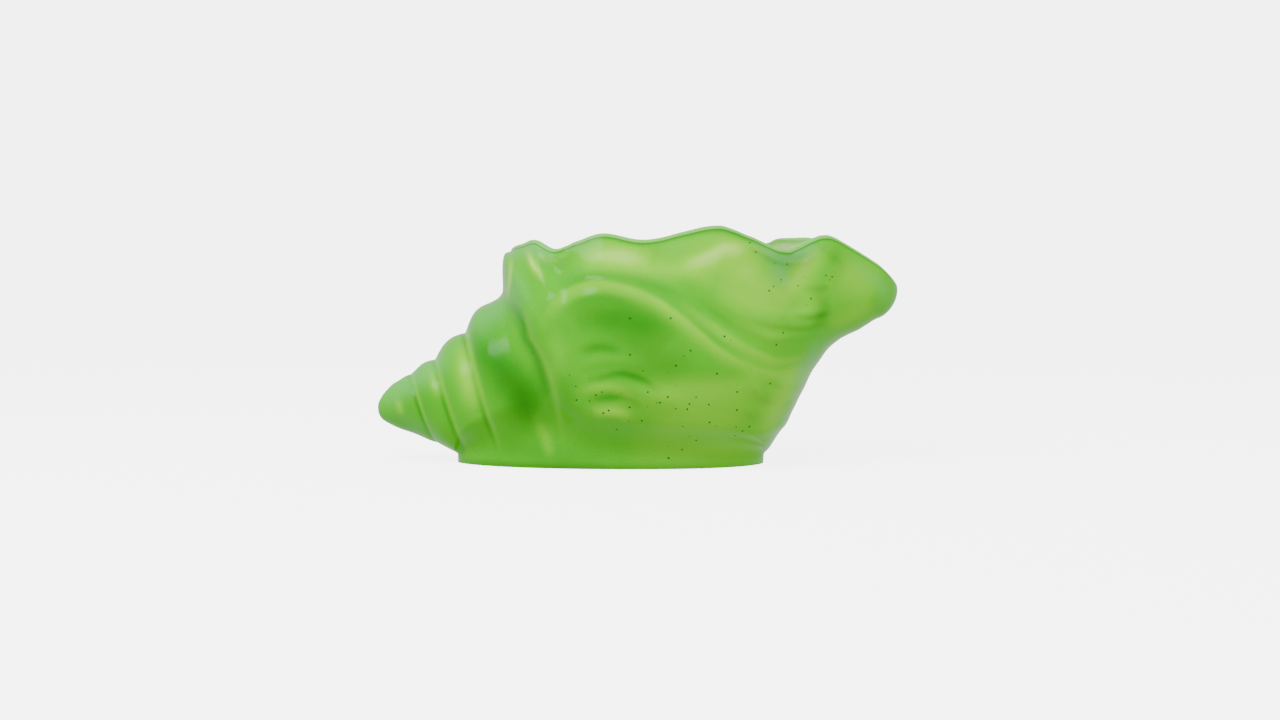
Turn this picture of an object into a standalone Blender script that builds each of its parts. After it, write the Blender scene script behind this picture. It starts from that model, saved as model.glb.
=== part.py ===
"""A glazed ceramic bowl in the form of a whelk shell that lies on its side.

One hollow, cast piece: a stepped spire on the left, a body whorl that is open upwards with a wavy
rim, a canal that runs out to the right as a spout, and a flat oval foot. +X runs along the shell
from the spire to the spout, +Y to the back and +Z up. The foot stands on Z = 0, and the origin is
under the middle of the shell's length and depth. Lengths below are millimetres.

The outer wall is a row of upright sections ("stations"). Each is an oval round the shell's axis,
leaned back a little, and a point on it has an angle of 0 at the top and pi at the bottom.
"""

import bmesh
import bpy
import numpy as np

MM = 0.001

LENGTH = 250.0
TIP = -LENGTH / 2
SPOUT = LENGTH / 2
OPENING = -49.0  # station where the closed spire gives way to the bowl's mouth
CAVITY = -90.0  # how far the hollow runs back into the spire
LEAN = 0.2  # how far a station leans towards the spire, per unit of height
CENTRING = (0.0, 0.04, 0.0)  # puts the middle of the whole depth on the X axis

RIM_WALL = 3.4
SIDE_WALL = 5.0
FLOOR = 7.0
FOOT_HEIGHT = 3.8
FOOT_ENDS = (-87.2, 61.4)  # X of the oval foot's two ends, just past where the keel comes down
FOOT_MIDDLE = -4.0  # X where the foot is deepest
FOOT_HALF_DEPTH = 40.0
FOOT_FULLNESS = (2.0, 2.4)  # exponents of the foot's oval: under the spire and under the canal
FOOT_BLEND = (38.0, 24.0)  # below this height the wall turns to the foot's oval: spire and body
FOOT_BLEND_CHANGE = (-50.0, 0.0)
FOOT_BLEND_POWER = 0.9  # the blend gets lower towards the foot's ends
FOOT_DRAW = 12.0  # and draws the wall in fully only where the foot is deeper than this
FOOT_RUN = 0.6  # the foot's two ends rise over this length
FULLNESS = 2.15  # exponent of the body's ovals
ELLIPSE = 2.0  # and of an ellipse
FLOOR_FILLET = 4.0
MOUTH_ROUND = 34.0  # the mouth's round end by the spire runs over this length
WIDEST_MOUTH = 0.985  # the mouth's greatest width, as a share of the body's
RIM_PARTING = 12.0  # the two sides of the rim part over this length
TINY = 0.0005
MERGE = 0.002

TIP_ROUND = 10.0
SPOUT_ROUND = 10.0
CAVITY_ROUND = 14.0

# Knots of (station, value) along the shell.
AXIS_HEIGHT = [(-125, 26), (-107, 27), (-91, 29), (-80, 31), (-63, 35), (-48, 44), (-20, 52),
               (20, 55), (48, 59), (62, 65), (75, 70), (87, 76), (98, 79.5), (108, 81.5), (125, 82.5)]
KEEL = [(-66, -3), (-48, -4), (-20, -4), (20, -4), (36, -1.5), (46, 1.6), (51, 5), (57.3, 12.8),
        (63, 20.5), (68, 29), (75, 39.5), (81, 46.5), (87, 54), (93, 58.5), (98, 61), (103, 63),
        (108, 65.5), (114, 68.5), (125, 71.5)]
HALF_WIDTH = [(-60, 46), (-48, 50), (-36, 54), (-20, 58.5), (0, 61), (20, 61), (40, 57.5), (60, 49),
              (75, 39), (87, 31), (94, 27), (106, 20.5), (115, 16.5), (125, 13)]
RIM_HALF_WIDTH = [(-49, 40), (-36, 40), (-20, 43), (0, 46), (30, 48), (50, 45), (70, 37),
                  (81, 30), (94, 24.5), (106, 19), (115, 15), (125, 12)]
NEAR_RIM = [(-60, 99), (-51, 101.6), (-44.2, 103.6), (-40, 104), (-36.5, 103), (-33, 101),
            (-28.7, 99.4), (-17.2, 104.6), (-4.6, 107.3), (12.8, 105), (31, 108.6), (48.4, 110.5),
            (60.5, 106.2), (67.5, 101.8), (72.2, 99), (76.2, 98.3), (80, 100.2), (84.5, 103.8),
            (88.5, 105.9), (92.4, 106.9), (95.1, 106.9), (97.9, 105.9), (101.3, 104.1), (106.5, 101),
            (112, 97.2), (119, 92), (125, 88)]
FAR_RIM = [(-60, 99), (-50, 102), (-40, 101), (-30, 98), (-14, 104), (2, 100), (20, 105), (38, 99),
           (56, 99.5), (67, 100.5), (73.7, 103.8), (77.4, 106.2), (81, 107), (86, 106.7), (92, 106.2),
           (98, 105.2), (103, 103.6), (108, 100.6), (112, 97), (119, 92), (125, 88)]
LEAN_SHARE = [(-125, 0), (-110, 1), (95, 1), (112, 0.5), (125, 0)]

# The spire: its turns, counted along the top, and its size where one turn meets the next.
TURNS = [(-125, 0), (-106.2, 1), (-93.2, 2), (-76.6, 3), (-58.5, 4), (-36, 5), (0, 6)]
SPIRE_UP = [(-125, 5.5), (-118, 9.2), (-111, 12.3), (-106.2, 14.2), (-93.2, 19.9), (-76.6, 29.8),
            (-58.5, 41), (-36, 43)]
SPIRE_SIDE = [(-125, 7.5), (-116, 11.5), (-106.5, 15), (-93.8, 21.5), (-77.4, 30.5), (-58.5, 39.5),
              (-36, 44)]
SPIRE_DOWN = [(-125, 8), (-121, 8.5), (-112, 12.2), (-106.5, 14.8), (-101, 17.8), (-96, 20.8),
              (-91.5, 23.6), (-85, 28.5), (-77.4, 32.5), (-58.5, 41), (-36, 46)]
STEP_POWER = 2.6  # how fully a turn swells out right past the seam: 1 is even growth
STEP_POWER_BELOW = 1.3  # and how fully it does underneath
STEPPED = (0.6, 1.6)  # the first turn, round the tip, is smooth
SPIRE_FADE = (-40.0, 0.0)

# The body's shoulder, where it swells out of the spire.
SHOULDER = (-57.2, -50.0)  # station at the top and at the bottom
SHOULDER_LENGTH = (6.0, 30.0)
NEAR_SHOULDER = 3.0  # how far the front's shoulder stands back from the back's, as knobs of their own
SEAM_FILLET = 5.0
SLANT_START = (-95.0, -60.0)
SLANT_END = (-42.0, 30.0)

# Folds of the side: (x, z) points along the crest, crest height, reach above and reach below.
FOLDS = [
    ([(-46, 60), (-43, 70), (-35, 79.5), (-22, 85.5), (-6, 84.5), (9, 78.5), (22, 69.5), (35, 57),
      (49, 49), (65, 43), (80, 40)], 3.4, 6.0, 15.0),
    ([(-33, 73), (-24, 77.5), (-14, 78.5)], 1.2, 3.0, 5.0),
    ([(-27, 57), (-18, 59.5), (-8, 58.5)], 1.0, 4.0, 6.0),
    ([(-25, 47), (-13, 50.5), (2, 47)], 1.4, 4.0, 6.5),
    ([(-22, 34), (-10, 38.5), (4, 35.5), (18, 31)], 1.6, 4.0, 6.5),
    ([(-20, 23), (-8, 26.5), (6, 24)], 1.2, 4.0, 6.0),
    ([(22, 88), (38, 78), (54, 69), (72, 66), (88, 67)], 1.9, 5.0, 7.0),
    ([(28, 74), (42, 64), (56, 58), (72, 55), (86, 57)], 1.7, 4.5, 6.0),
    ([(50, 39), (62, 35.5), (76, 36.5), (90, 38)], 1.7, 4.0, 5.0),
    ([(46, 29), (58, 26), (72, 28), (86, 30)], 1.5, 4.0, 4.5),
    ([(44, 20), (56, 17.5), (68, 20), (80, 21)], 1.2, 3.5, 4.0),
]
VALLEY_SHARE = 0.35  # depth of the valley above a crest, as a share of the crest's height
VALLEY_PLACE = 1.9  # its distance from the crest, in reaches
FOLD_TAPER = 0.6  # how soon a fold loses its height towards its ends
FOLD_ENDS = (0.02, 0.98)  # a little height is left at the ends themselves
FOLDED = (0.3, 0.9)  # the folds grow over this part of the shoulder
CROWN_FADE = 0.4  # and fade this close to the spire's crown, as an angle
KEEL_FADE = 0.6
FAR_FOLD_SHIFT = (9.0, -3.0)  # the back carries the same folds, moved along
FAR_FOLD_JOIN = (10.0, 60.0)  # and runs back to the front's folds between these places
FOLD_FEET = (8.0, 20.0)  # heights between which the folds rise out of the foot

# Flutes that run down from the rim: (station, how far out, half length along the rim).
NEAR_FLUTES = [(-38, 3.0, 8), (-25, -2.0, 6), (-4, 1.8, 13), (15, -1.0, 8), (46, 2.2, 15), (77.5, -3.4, 8),
               (96, 1.8, 8)]
FAR_FLUTES = [(-42, 2.4, 8), (-30, -1.6, 6), (-14, 1.8, 9), (3, -1.6, 8), (20, 1.9, 9), (38, -1.8, 8),
              (68, 2.6, 14), (91, -2.2, 7)]
FLUTE_REACH = 24.0
FLUTE_START = (-44.0, -34.0)
LIP_ROLL = 1.8  # how far the lip turns out where the rim dips, per unit of the dip
LIP_REACH = 5.0

# Facets of the solid. Rows stand closer together over the spire's nose.
NOSE = 3.0
NOSE_ROWS = 3
SPIRE_ROWS = 36
MOUTH_ROWS = 38
HOLLOW_ROWS = 16
WALL_COLUMNS = 15
FOOT_COLUMNS = 2
INNER_COLUMNS = 13
RIM_COLUMNS = 3
LINE_STEPS = 12  # steps that a fold's line is followed in, for each of its points
TURN_STEPS = 600
FOOT_STEPS = 400
FOOT_STEP = 0.1
LOWER_PART = 0.4  # share of the wall's height above which the foot isn't looked for

GLAZE = (0.15, 0.41, 0.03)
GLAZE_ROUGHNESS = 0.12
NEAR, FAR = -1, 1


def through(knots):
    """A smooth curve through the knots that doesn't overshoot them."""
    places, values = np.array(knots, float).T
    gaps = np.diff(places)
    slopes = np.diff(values) / gaps
    before, after = slopes[:-1], slopes[1:]
    level = before * after <= 0
    joint = np.where(level, 1.0, before + after)
    inner = np.where(level, 0.0, 2 * before * after / joint)
    tangents = np.concatenate(([slopes[0]], inner, [slopes[-1]]))

    def curve(at):
        at = np.clip(at, places[0], places[-1])
        k = np.clip(np.searchsorted(places, at) - 1, 0, len(gaps) - 1)
        t = (at - places[k]) / gaps[k]
        start, end = values[k], values[k + 1]
        rise, fall = tangents[k] * gaps[k], tangents[k + 1] * gaps[k]
        return (start * (1 + 2 * t) * (1 - t) ** 2 + rise * t * (1 - t) ** 2
                + end * t * t * (3 - 2 * t) + fall * t * t * (t - 1))

    return curve


axis_height = through(AXIS_HEIGHT)
keel = through(KEEL)
half_width = through(HALF_WIDTH)
rim_half_width = through(RIM_HALF_WIDTH)
near_rim = through(NEAR_RIM)
far_rim = through(FAR_RIM)
lean_share = through(LEAN_SHARE)
turns = through(TURNS)
spire_up = through(SPIRE_UP)
spire_side = through(SPIRE_SIDE)
spire_down = through(SPIRE_DOWN)


def ease(low, high, at):
    t = np.clip((at - low) / (high - low), 0, 1)
    return t * t * (3 - 2 * t)


def round_end(distance, radius):
    """0 at an end and 1 from radius on, along a quarter of a circle."""
    t = np.clip(distance / radius, 0, 1)
    return np.sqrt(t * (2 - t))


def round_spout(station):
    return round_end(SPOUT - station, SPOUT_ROUND)


def station_of_turn(turn):
    """The station where the spire's count of turns reaches turn."""
    places = np.linspace(TIP, 0, TURN_STEPS)
    return np.interp(turn, turns(places), places)


def stepped_station(station, angle, side):
    """The station whose size the spire takes here: each turn swells ahead of its even growth."""
    fraction = np.where(side == NEAR, angle / (2 * np.pi), 1 - angle / (2 * np.pi))
    phase = turns(station) - fraction
    whole = np.floor(phase)
    part = phase - whole
    power = STEP_POWER + (STEP_POWER_BELOW - STEP_POWER) * ease(np.pi / 2, np.pi, angle)
    power = 1 + (power - 1) * ease(*STEPPED, turns(station))
    return station_of_turn(whole + 1 - (1 - part) ** power + fraction)


def oval(angle, up, across, down, power):
    """Distance from the axis to an oval with its own reach up, across and down."""
    upright = np.where(np.cos(angle) > 0, up, down)
    height = np.abs(np.cos(angle)) / upright
    width = np.abs(np.sin(angle)) / across
    return (height ** power + width ** power) ** (-1 / power)


def greater(a, b, fillet):
    """The greater of two distances, with a fillet where they meet."""
    fillet = np.minimum(fillet, np.abs(a))
    return (a + b + np.sqrt((a - b) ** 2 + fillet ** 2)) / 2


def rim_height(station, side):
    """The outer rim's height. Both sides meet by the spire and at the spout."""
    parting = ease(OPENING, OPENING + RIM_PARTING, station) * (side == FAR)
    level = near_rim(station) * (1 - parting) + far_rim(station) * parting - RIM_WALL / 2
    centre = axis_height(station)
    return centre + (level - centre) * round_spout(station)


def mouth_half_width(station):
    """Half the mouth's width, round at the end by the spire and at the spout."""
    return rim_half_width(station) * round_end(station - OPENING, MOUTH_ROUND) * round_spout(station)


def body_oval(station, angle, inset, taper, mouth, rim):
    """Distance from the axis to the body whorl's oval, whose upper part runs through the rim."""
    centre = axis_height(station)
    across = np.maximum((half_width(station) - inset) * taper, TINY)
    down = np.maximum((centre - keel(station) - inset) * taper, TINY)
    share = np.clip(mouth / across, 0, WIDEST_MOUTH)
    up = np.maximum((rim - centre) / (1 - share ** FULLNESS) ** (1 / FULLNESS), TINY)
    return oval(angle, up, across, down, FULLNESS)


def distance_to_line(x, z, points):
    """Signed distance to a smooth line through the points (above it is positive), and its fade."""
    points = np.array(points, float)
    steps = np.arange(len(points))
    fine = np.linspace(0, len(points) - 1, LINE_STEPS * len(points))
    line_x = through(list(zip(steps, points[:, 0])))(fine)
    line_z = through(list(zip(steps, points[:, 1])))(fine)
    gap_x = x[..., None] - line_x
    gap_z = z[..., None] - line_z
    gap = np.hypot(gap_x, gap_z)
    nearest = gap.argmin(axis=-1)
    along_x = np.gradient(line_x)[nearest]
    along_z = np.gradient(line_z)[nearest]
    pick = np.expand_dims(nearest, -1)
    offset_x = np.take_along_axis(gap_x, pick, -1)[..., 0]
    offset_z = np.take_along_axis(gap_z, pick, -1)[..., 0]
    above = along_x * offset_z - along_z * offset_x
    place = nearest / (len(fine) - 1)
    fade = np.sin(np.pi * np.clip(place, *FOLD_ENDS)) ** FOLD_TAPER
    return np.copysign(gap.min(axis=-1), above), fade


def fold_relief(x, z, side):
    """How far the folds lift the wall. The back's folds are moved along, but join at the keel."""
    shift = (side == FAR) * (1 - ease(*FAR_FOLD_JOIN, x))
    x_line = x - FAR_FOLD_SHIFT[0] * shift
    z_line = z - FAR_FOLD_SHIFT[1] * shift
    lift = np.zeros_like(x)
    for points, height, above, below in FOLDS:
        gap, fade = distance_to_line(x_line, z_line, points)
        crest = np.exp(-((gap / np.where(gap > 0, above, below)) ** 2))
        valley = np.exp(-((gap / above - VALLEY_PLACE) ** 2))
        lift = lift + height * fade * (crest - VALLEY_SHARE * valley)
    return lift * ease(*FOLD_FEET, z)


def rim_relief(station, angle, below_rim, side):
    """Flutes under the rim, and a lip that rolls out where the rim dips."""
    lift = np.zeros_like(station)
    for which, flutes in ((NEAR, NEAR_FLUTES), (FAR, FAR_FLUTES)):
        for middle, out, reach in flutes:
            bump = np.exp(-(((station - middle) / reach) ** 2)) * (side == which)
            roll = LIP_ROLL * max(-out, 0)
            lift = lift + out * bump * np.exp(-((below_rim / FLUTE_REACH) ** 2))
            lift = lift + roll * bump * np.exp(-((below_rim / LIP_REACH) ** 2))
    kept = ease(*FLUTE_START, station) * ease(0, KEEL_FADE, np.pi - angle)
    return lift * kept * round_spout(station)


def spot(station, angle, distance, side):
    """Points at an angle and a distance from the axis: x, y and z."""
    height = distance * np.cos(angle)
    return np.stack((station - LEAN * lean_share(station) * height,
                     side * distance * np.sin(angle),
                     axis_height(station) + height), axis=-1)


def spire_distance(station, size, angle):
    """Distance from the axis to the spire, with the size that it has at another station."""
    ring = oval(angle, spire_up(size), spire_side(size), spire_down(size), ELLIPSE)
    return ring * round_end(station - TIP, TIP_ROUND) * (1 - ease(*SPIRE_FADE, station))


def shoulder_share(station, angle, side, shift):
    """0 before the body's shoulder and 1 past it."""
    turn = (1 - np.cos(angle)) / 2
    start = SHOULDER[0] + (SHOULDER[1] - SHOULDER[0]) * turn + shift
    start = start + NEAR_SHOULDER * (side == NEAR) * np.sin(angle) ** 2 * (1 - turn)
    length = SHOULDER_LENGTH[0] + (SHOULDER_LENGTH[1] - SHOULDER_LENGTH[0]) * turn
    return round_end(station - start, length)


def onto_foot(points, side):
    """The points, with the lowest part of the wall drawn in or out to the foot's oval."""
    x, y, z = np.moveaxis(points, -1, 0)
    end = np.where(x < FOOT_MIDDLE, *FOOT_ENDS)
    fullness = np.where(x < FOOT_MIDDLE, *FOOT_FULLNESS)
    share = np.clip((x - FOOT_MIDDLE) / (end - FOOT_MIDDLE), 0, 1)
    oval_half = FOOT_HALF_DEPTH * (1 - share ** fullness) ** (1 / fullness)
    blend = FOOT_BLEND[0] + (FOOT_BLEND[1] - FOOT_BLEND[0]) * ease(*FOOT_BLEND_CHANGE, x)
    blend = FOOT_HEIGHT + (blend - FOOT_HEIGHT) * (oval_half / FOOT_HALF_DEPTH) ** FOOT_BLEND_POWER + TINY
    pull = ease(blend, FOOT_HEIGHT, z) * ease(0, FOOT_DRAW, oval_half)
    return np.stack((x, y + (side * oval_half - y) * pull, z), axis=-1)


def outer_wall(station, angle, side):
    """Points of the outer wall, with its steps, folds and flutes."""
    rim = rim_height(station, side)
    share = shoulder_share(station, angle, side, 0.0)
    body = body_oval(station, angle, 0.0, round_spout(station), mouth_half_width(station), rim) * share
    spire = spire_distance(station, stepped_station(station, angle, side), angle)
    plain = greater(spire, body, SEAM_FILLET)
    x, _, z = np.moveaxis(spot(station, angle, plain, side), -1, 0)
    folded = ease(*FOLDED, share) * ease(0, CROWN_FADE, angle) * round_spout(station)
    relief = folded * fold_relief(x, z, side) + rim_relief(station, angle, rim - z, side)
    return onto_foot(spot(station, angle, plain + relief, side), side)


def inner_wall(station, angle, side, mouth, rim):
    """Points of the inner wall, which follows the plain form one wall further in."""
    taper = round_end(SPOUT - RIM_WALL - station, SPOUT_ROUND)
    body = body_oval(station, angle, SIDE_WALL, taper, mouth, rim)
    body = body * shoulder_share(station, angle, side, SIDE_WALL)
    spire = np.maximum(spire_distance(station, station, angle) - SIDE_WALL, 0)
    spire = spire * round_end(station - CAVITY, CAVITY_ROUND)
    plain = greater(spire, body, SEAM_FILLET)
    z = spot(station, angle, plain, side)[..., 2]
    points = spot(station, angle, plain + rim_relief(station, angle, rim - z, side), side)
    points[..., 2] = greater(points[..., 2], FLOOR, FLOOR_FILLET)
    return points


def rows_at(stations, top, share):
    """Stations and angles of a row's points, from the top down. Rows slant along the body's seam."""
    angle = top[:, None] + (np.pi - top)[:, None] * share
    slant = ease(*SLANT_START, stations) * (1 - ease(*SLANT_END, stations))
    slant = slant * (SHOULDER[1] - SHOULDER[0])
    return stations[:, None] + slant[:, None] * np.sin(np.pi * share / 2) ** 2, angle


def spread(start, end, count):
    """count + 1 places, closer together at both ends."""
    return start + (end - start) * (1 - np.cos(np.linspace(0, np.pi, count + 1))) / 2


def foot_share(stations, top, side):
    """How far down a row the outer wall meets the foot: 1 where it stays above it."""
    share = np.linspace(LOWER_PART, 1, FOOT_STEPS)
    rows = rows_at(stations, top, np.broadcast_to(share, (len(stations), FOOT_STEPS)))
    heights = outer_wall(*rows, side)[..., 2]
    return np.array([np.interp(FOOT_HEIGHT, row[::-1], share[::-1]) for row in heights])


def foot_ends():
    """The first and the last row that stand on the foot."""
    stations = np.arange(TIP + 1, SPOUT, FOOT_STEP)
    top = np.zeros_like(stations)
    keel_line = outer_wall(*rows_at(stations, top, np.ones((len(stations), 1))), NEAR)[:, 0, 2]
    standing = stations[keel_line < FOOT_HEIGHT]
    return standing[0], standing[-1]


def side_of_outer(stations, side):
    """One side of the outer wall, from the rim down, round the foot's edge and along its underside."""
    top = np.arctan2(mouth_half_width(stations), rim_height(stations, side) - axis_height(stations))
    top = np.where(stations < OPENING, 0.0, top)
    share = foot_share(stations, top, side)[:, None] * np.linspace(0, 1, WALL_COLUMNS + 1)
    wall = outer_wall(*rows_at(stations, top, share), side)
    first, last = foot_ends()
    standing = ((stations > first) & (stations < last))[:, None]
    keel_line = outer_wall(*rows_at(stations, top, np.ones((len(stations), 1))), side) * (1, 0, 1)
    across = np.linspace(1, 0, FOOT_COLUMNS + 1)[None, :, None]
    under = wall[:, -1:, :] * across + keel_line * (1 - across)
    under[..., 2] = np.where(standing, 0.0, under[..., 2])
    return np.concatenate((wall, under), axis=1)


def mouth_path(stations):
    """Where the inner rim runs beside the outer one: its stations and half widths."""
    half = mouth_half_width(stations)
    along = np.gradient(stations)
    across = np.gradient(half)
    across[0], along[0] = 1.0, 0.0
    across[-1], along[-1] = -1.0, 0.0
    length = np.hypot(along, across)
    return stations + RIM_WALL * across / length, np.maximum(half - RIM_WALL * along / length, 0)


def side_of_inner(closed, mouth, side):
    """One side of the inner wall, from the rim or the cavity's crown down to the floor's middle."""
    stations, half = mouth_path(mouth)
    rim = rim_height(mouth, side)
    half = np.concatenate((np.zeros(len(closed)), half))
    rim = np.concatenate((np.full(len(closed), rim[0]), rim))
    stations = np.concatenate((closed, stations))
    top = np.arctan2(half, rim - axis_height(stations))
    angle = top[:, None] + (np.pi - top)[:, None] * np.linspace(0, 1, INNER_COLUMNS + 1)
    wide = np.broadcast_to(stations[:, None], angle.shape)
    return inner_wall(wide, angle, side, half[:, None], rim[:, None])


def rim_round(outer, inner):
    """The rim's round top, from the outer wall's edge over to the inner wall's."""
    turn = np.linspace(0, np.pi, RIM_COLUMNS + 1)[None, :, None]
    middle = (outer + inner)[:, None, :] / 2
    reach = (outer - inner)[:, None, :] / 2
    rise = np.linalg.norm(reach, axis=-1, keepdims=True) * np.array([0, 0, 1.0])
    return middle + reach * np.cos(turn) + rise * np.sin(turn)


def add_sheet(mesh, points):
    """A grid whose vertices are moved to the points, row by row."""
    rows, columns = points.shape[0] - 1, points.shape[1] - 1
    made = bmesh.ops.create_grid(mesh, x_segments=columns, y_segments=rows, size=0.5)["verts"]
    for vertex in made:
        row = round((vertex.co.y + 0.5) * rows)
        column = round((vertex.co.x + 0.5) * columns)
        vertex.co = (points[row, column] + CENTRING) * MM


def make_bowl():
    first, last = foot_ends()
    nose = np.linspace(TIP, TIP + NOSE, NOSE_ROWS + 1)[:-1]
    closed = np.concatenate((nose, np.linspace(TIP + NOSE, OPENING, SPIRE_ROWS + 1)[:-1]))
    closed = np.sort(np.append(closed, (first, first + FOOT_RUN)))
    mouth = np.sort(np.append(spread(OPENING, SPOUT, MOUTH_ROWS), (last - FOOT_RUN, last)))
    hollow = spread(CAVITY, OPENING + RIM_WALL, HOLLOW_ROWS)[:-1]
    mesh = bmesh.new()
    for side in (NEAR, FAR):
        outer = side_of_outer(np.concatenate((closed, mouth)), side)
        inner = side_of_inner(hollow, mouth, side)
        add_sheet(mesh, outer)
        add_sheet(mesh, inner)
        add_sheet(mesh, rim_round(outer[-len(mouth):, 0], inner[-len(mouth):, 0]))
    bmesh.ops.remove_doubles(mesh, verts=mesh.verts, dist=MERGE * MM)
    bmesh.ops.recalc_face_normals(mesh, faces=mesh.faces)
    data = bpy.data.meshes.new("whelk_shell_bowl")
    mesh.to_mesh(data)
    mesh.free()
    data.shade_smooth()
    bowl = bpy.data.objects.new("whelk_shell_bowl", data)
    bpy.context.scene.collection.objects.link(bowl)
    return bowl


def make_glaze():
    glaze = bpy.data.materials.new("apple_green_glaze")
    glaze.use_nodes = True
    shader = glaze.node_tree.nodes["Principled BSDF"]
    shader.inputs["Base Color"].default_value = (*GLAZE, 1.0)
    shader.inputs["Roughness"].default_value = GLAZE_ROUGHNESS
    shader.inputs["Metallic"].default_value = 0.0
    return glaze


def clear_scene():
    for item in list(bpy.data.objects):
        bpy.data.objects.remove(item, do_unlink=True)


clear_scene()
bowl = make_bowl()
bowl.data.materials.append(make_glaze())
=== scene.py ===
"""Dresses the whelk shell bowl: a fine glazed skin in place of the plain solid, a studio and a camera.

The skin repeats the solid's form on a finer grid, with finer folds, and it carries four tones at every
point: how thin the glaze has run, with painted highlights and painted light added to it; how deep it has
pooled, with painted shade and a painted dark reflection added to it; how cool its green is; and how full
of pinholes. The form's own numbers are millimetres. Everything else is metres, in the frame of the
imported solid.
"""

import bmesh
import bpy
import numpy as np
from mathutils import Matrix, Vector


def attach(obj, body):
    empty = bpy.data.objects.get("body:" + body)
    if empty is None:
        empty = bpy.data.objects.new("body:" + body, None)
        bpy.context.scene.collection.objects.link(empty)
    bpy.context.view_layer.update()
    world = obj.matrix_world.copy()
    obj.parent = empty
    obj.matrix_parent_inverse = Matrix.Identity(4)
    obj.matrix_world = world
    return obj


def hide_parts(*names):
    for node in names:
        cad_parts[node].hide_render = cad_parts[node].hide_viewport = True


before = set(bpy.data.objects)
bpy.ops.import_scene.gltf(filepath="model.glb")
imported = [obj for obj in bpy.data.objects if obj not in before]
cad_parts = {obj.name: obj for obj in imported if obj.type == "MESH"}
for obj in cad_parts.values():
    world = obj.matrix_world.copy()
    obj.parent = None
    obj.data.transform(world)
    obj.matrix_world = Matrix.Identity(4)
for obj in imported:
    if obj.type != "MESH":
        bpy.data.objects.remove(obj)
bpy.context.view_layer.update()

MM = 0.001

# The camera stands in front of the bowl and looks a little down.
CAMERA = (0.0014, -0.9, 0.092)
CAMERA_PITCH = 2.76  # degrees below the level
LENS = 52.65
SENSOR = 36.0
NEAREST = 0.01  # nothing nearer than this is drawn

# The backdrop: a floor that bends up into a wall behind the bowl.
BACKDROP_FRONT = -3.0
BACKDROP_FLAT = 5.0  # length of the floor
BACKDROP_BEND = 1.0  # radius of the bend
BACKDROP_RUN = 9.0  # length of the whole sheet, measured along it
BACKDROP_HALF_WIDTH = 4.0
BACKDROP_ROWS = 60
BACKDROP_GLOW = 4.5
BACKDROP_WHITE = (0.9, 0.9, 0.9, 1.0)
WHITE = (1.0, 1.0, 1.0, 1.0)

SKY = 1.02  # strength of the even light from all round
SKY_RISE = 0.05  # and how much of it is added straight above and lost straight below
LAMP_TARGET = (0.0, 0.0, 0.05)

LENGTH = 250.0
TIP = -LENGTH / 2
SPOUT = LENGTH / 2
OPENING = -49.0  # station where the closed spire gives way to the bowl's mouth
CAVITY = -90.0  # how far the hollow runs back into the spire
LEAN = 0.2  # how far a station leans towards the spire, per unit of height
CENTRING = (0.0, 0.04, 0.0)  # puts the middle of the whole depth on the X axis

RIM_WALL = 3.4
SIDE_WALL = 5.0
FLOOR = 7.0
FOOT_HEIGHT = 3.8
FOOT_ENDS = (-87.2, 61.4)  # X of the oval foot's two ends, just past where the keel comes down
FOOT_MIDDLE = -4.0  # X where the foot is deepest
FOOT_HALF_DEPTH = 40.0
FOOT_FULLNESS = (2.0, 2.4)  # exponents of the foot's oval: under the spire and under the canal
FOOT_BLEND = (38.0, 24.0)  # below this height the wall turns to the foot's oval: spire and body
FOOT_BLEND_CHANGE = (-50.0, 0.0)
FOOT_BLEND_POWER = 0.9  # the blend gets lower towards the foot's ends
FOOT_DRAW = 12.0  # and draws the wall in fully only where the foot is deeper than this
FOOT_RUN = 0.6  # the foot's two ends rise over this length
FULLNESS = 2.15  # exponent of the body's ovals
ELLIPSE = 2.0  # and of an ellipse
FLOOR_FILLET = 4.0
MOUTH_ROUND = 34.0  # the mouth's round end by the spire runs over this length
WIDEST_MOUTH = 0.985  # the mouth's greatest width, as a share of the body's
RIM_PARTING = 12.0  # the two sides of the rim part over this length
TINY = 0.0005
MERGE = 0.002  # vertices closer than this are one

# Lengths over which the ends are rounded.
TIP_ROUND = 10.0
SPOUT_ROUND = 10.0
CAVITY_ROUND = 14.0

# Knots of (station, value) along the shell.
AXIS_HEIGHT = [(-125, 26), (-107, 27), (-91, 29), (-80, 31), (-63, 35), (-48, 44), (-20, 52),
               (20, 55), (48, 59), (62, 65), (75, 70), (87, 76), (98, 79.5), (108, 81.5), (125, 82.5)]
KEEL = [(-66, -3), (-48, -4), (-20, -4), (20, -4), (36, -1.5), (46, 1.6), (51, 5), (57.3, 12.8),
        (63, 20.5), (68, 29), (75, 39.5), (81, 46.5), (87, 54), (93, 58.5), (98, 61), (103, 63),
        (108, 65.5), (114, 68.5), (125, 71.5)]
HALF_WIDTH = [(-60, 46), (-48, 50), (-36, 54), (-20, 58.5), (0, 61), (20, 61), (40, 57.5), (60, 49),
              (75, 39), (87, 31), (94, 27), (106, 20.5), (115, 16.5), (125, 13)]
RIM_HALF_WIDTH = [(-49, 40), (-36, 40), (-20, 43), (0, 46), (30, 48), (50, 45), (70, 37),
                  (81, 30), (94, 24.5), (106, 19), (115, 15), (125, 12)]
NEAR_RIM = [(-60, 99), (-51, 101.6), (-44.2, 103.6), (-40, 104), (-36.5, 103), (-33, 101),
            (-28.7, 99.4), (-17.2, 104.6), (-4.6, 107.3), (12.8, 105), (31, 108.6), (48.4, 110.5),
            (60.5, 106.2), (67.5, 101.8), (72.2, 99), (76.2, 98.3), (80, 100.2), (84.5, 103.8),
            (88.5, 105.9), (92.4, 106.9), (95.1, 106.9), (97.9, 105.9), (101.3, 104.1), (106.5, 101),
            (112, 97.2), (119, 92), (125, 88)]
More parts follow.
